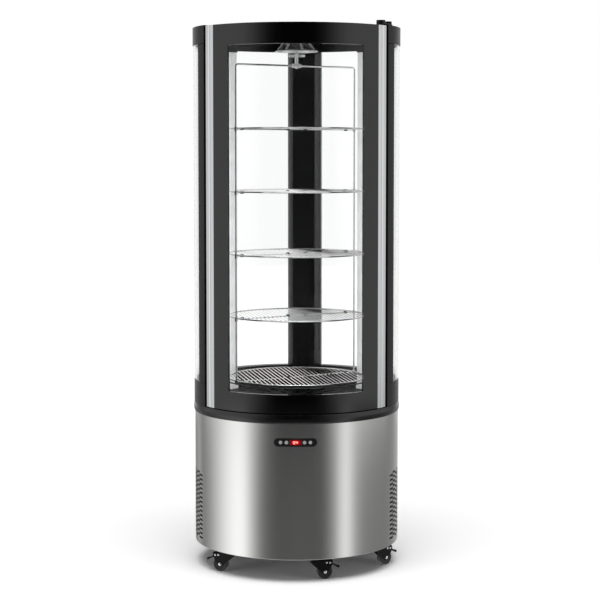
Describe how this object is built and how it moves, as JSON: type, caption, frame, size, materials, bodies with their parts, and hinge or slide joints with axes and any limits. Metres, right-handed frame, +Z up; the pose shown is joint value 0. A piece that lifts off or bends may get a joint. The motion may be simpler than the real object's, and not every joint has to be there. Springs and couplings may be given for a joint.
{
  "type": "refrigerated display case",
  "caption": "Round glass display refrigerator: curved hinged door, hanging rotating rack of wire shelves, vented steel base with control panel, swivel casters with brakes",
  "frame": {"origin": "on the floor under the axis of the round case, centre of the bounding box's bottom", "axes": "+Z up along the case's axis; the door and control panel face -Y, the door's hinge is on the +X side"},
  "size_m": [0.684, 0.684, 1.78],
  "materials": {
    "brushed_steel": "vertically lit brushed stainless steel",
    "black_enamel": "satin black enamel",
    "black_plastic": "moulded satin black plastic",
    "bright_strip": "satin anodised extrusion",
    "clear_glass": "clear tempered glass",
    "chrome": "bright chrome plate",
    "gasket_rubber": "soft black seal",
    "tread_rubber": "grey rubber tread",
    "zinc_steel": "zinc plated pressed steel",
    "lamp_cover": "frosted lamp cover",
    "coil_metal": "bare aluminium fins",
    "display_lens": "dark red tinted lens"
  },
  "bodies": {
    "case": {"base_shell": "brushed_steel", "base_plate": "zinc_steel", "base_ring": "black_plastic", "deck": "black_enamel", "deck_grille": "black_plastic", "cable_gland": "black_plastic", "control_panel": "black_plastic", "display_window": "display_lens", "compressor": "black_enamel", "condenser": "coil_metal", "fan_shroud": "zinc_steel", "evaporator": "coil_metal", "lower_band": "black_enamel", "right_post": "black_enamel", "left_post": "black_enamel", "right_glass": "clear_glass", "left_glass": "clear_glass", "rear_column": "black_enamel", "top_cap": "black_enamel", "led_right": "lamp_cover", "led_left": "lamp_cover", "top_hinge": "black_enamel", "bottom_hinge_pin": "zinc_steel", "drive_motor": "black_enamel", "motor_canopy": "chrome"},
    "door": {"door_frame": "black_enamel", "door_glass": "clear_glass", "handle_strip": "bright_strip", "hinge_strip": "bright_strip", "door_gasket": "gasket_rubber"},
    "rack": {"drive_shaft": "chrome", "rack_frame": "chrome", "shelf_1": "chrome", "shelf_2": "chrome", "shelf_3": "chrome", "shelf_4": "chrome", "shelf_5": "chrome", "rack_bumper_ring": "black_plastic"},
    "caster_1": {"fork_1": "zinc_steel"},
    "wheel_1": {"wheel_1": "tread_rubber"},
    "caster_2": {"fork_2": "zinc_steel"},
    "wheel_2": {"wheel_2": "tread_rubber"},
    "caster_3": {"fork_3": "zinc_steel"},
    "wheel_3": {"wheel_3": "tread_rubber"},
    "caster_4": {"fork_4": "zinc_steel"},
    "wheel_4": {"wheel_4": "tread_rubber"},
    "caster_5": {"fork_5": "zinc_steel"},
    "wheel_5": {"wheel_5": "tread_rubber"},
    "caster_6": {"fork_6": "zinc_steel"},
    "wheel_6": {"wheel_6": "tread_rubber"},
    "pedal_1": {"pedal_1": "zinc_steel"},
    "pedal_2": {"pedal_2": "zinc_steel"},
    "pedal_3": {"pedal_3": "zinc_steel"},
    "button_1": {"button_1": "black_plastic"},
    "button_2": {"button_2": "black_plastic"},
    "button_3": {"button_3": "black_plastic"},
    "button_4": {"button_4": "black_plastic"},
    "condenser_fan": {"condenser_fan": "black_plastic"},
    "evaporator_fan": {"evaporator_fan": "black_plastic"}
  },
  "joints": [
    {"name": "door_hinge", "type": "hinge", "parent": "case", "child": "door", "pos_m": [0.27031, -0.18578, 1.15], "axis": [0, 0, 1], "range_deg": [0, 100]},
    {"name": "rack_spin", "type": "hinge", "parent": "case", "child": "rack", "pos_m": [0, 0, 1.68], "axis": [0, 0, 1], "continuous": true},
    {"name": "caster_swivel_1", "type": "hinge", "parent": "case", "child": "caster_1", "pos_m": [-0.2166, -0.18829, 0.081], "axis": [0, 0, 1], "continuous": true},
    {"name": "wheel_roll_1", "type": "hinge", "parent": "caster_1", "child": "wheel_1", "pos_m": [-0.24291, -0.17871, 0.025], "axis": [-0.342, -0.9397, 0], "continuous": true},
    {"name": "brake_press_1", "type": "hinge", "parent": "caster_1", "child": "pedal_1", "pos_m": [-0.25748, -0.17341, 0.0545], "axis": [-0.342, -0.9397, 0], "range_deg": [0, 18]},
    {"name": "caster_swivel_2", "type": "hinge", "parent": "case", "child": "caster_2", "pos_m": [0.06456, -0.27964, 0.081], "axis": [0, 0, 1], "continuous": true},
    {"name": "wheel_roll_2", "type": "hinge", "parent": "caster_2", "child": "wheel_2", "pos_m": [0.09195, -0.27382, 0.025], "axis": [-0.2079, 0.9781, 0], "continuous": true},
    {"name": "brake_press_2", "type": "hinge", "parent": "caster_2", "child": "pedal_2", "pos_m": [0.10711, -0.2706, 0.0545], "axis": [-0.2079, 0.9781, 0], "range_deg": [0, 18]},
    {"name": "caster_swivel_3", "type": "hinge", "parent": "case", "child": "caster_3", "pos_m": [0.26794, -0.10285, 0.081], "axis": [0, 0, 1], "continuous": true},
    {"name": "wheel_roll_3", "type": "hinge", "parent": "caster_3", "child": "wheel_3", "pos_m": [0.29, -0.08561, 0.025], "axis": [-0.6157, 0.788, 0], "continuous": true},
    {"name": "brake_press_3", "type": "hinge", "parent": "caster_3", "child": "pedal_3", "pos_m": [0.30222, -0.07607, 0.0545], "axis": [-0.6157, 0.788, 0], "range_deg": [0, 18]},
    {"name": "caster_swivel_4", "type": "hinge", "parent": "case", "child": "caster_4", "pos_m": [0.2166, 0.18829, 0.081], "axis": [0, 0, 1], "continuous": true},
    {"name": "wheel_roll_4", "type": "hinge", "parent": "caster_4", "child": "wheel_4", "pos_m": [0.2026, 0.21254, 0.025], "axis": [-0.866, -0.5, 0], "continuous": true},
    {"name": "caster_swivel_5", "type": "hinge", "parent": "case", "child": "caster_5", "pos_m": [-0.05476, 0.28173, 0.081], "axis": [0, 0, 1], "continuous": true},
    {"name": "wheel_roll_5", "type": "hinge", "parent": "caster_5", "child": "wheel_5", "pos_m": [-0.08107, 0.27215, 0.025], "axis": [0.342, -0.9397, 0], "continuous": true},
    {"name": "caster_swivel_6", "type": "hinge", "parent": "case", "child": "caster_6", "pos_m": [-0.27136, 0.09344, 0.081], "axis": [0, 0, 1], "continuous": true},
    {"name": "wheel_roll_6", "type": "hinge", "parent": "caster_6", "child": "wheel_6", "pos_m": [-0.25736, 0.11769, 0.025], "axis": [-0.866, 0.5, 0], "continuous": true},
    {"name": "button_press_1", "type": "slide", "parent": "case", "child": "button_1", "axis": [0.1386, 0.9903, 0], "range_m": [0, 0.001], "stiffness_N_per_m": 300, "springref_m": -0.0005},
    {"name": "button_press_2", "type": "slide", "parent": "case", "child": "button_2", "axis": [0.0841, 0.9965, 0], "range_m": [0, 0.001], "stiffness_N_per_m": 300, "springref_m": -0.0005},
    {"name": "button_press_3", "type": "slide", "parent": "case", "child": "button_3", "axis": [-0.0841, 0.9965, 0], "range_m": [0, 0.001], "stiffness_N_per_m": 300, "springref_m": -0.0005},
    {"name": "button_press_4", "type": "slide", "parent": "case", "child": "button_4", "axis": [-0.1386, 0.9903, 0], "range_m": [0, 0.001], "stiffness_N_per_m": 300, "springref_m": -0.0005},
    {"name": "condenser_fan_spin", "type": "hinge", "parent": "case", "child": "condenser_fan", "pos_m": [-0.1687, 0, 0.19215], "axis": [1, 0, 0], "continuous": true},
    {"name": "evaporator_fan_spin", "type": "hinge", "parent": "case", "child": "evaporator_fan", "pos_m": [0, 0, 0.515], "axis": [0, 0, 1], "continuous": true}
  ]
}
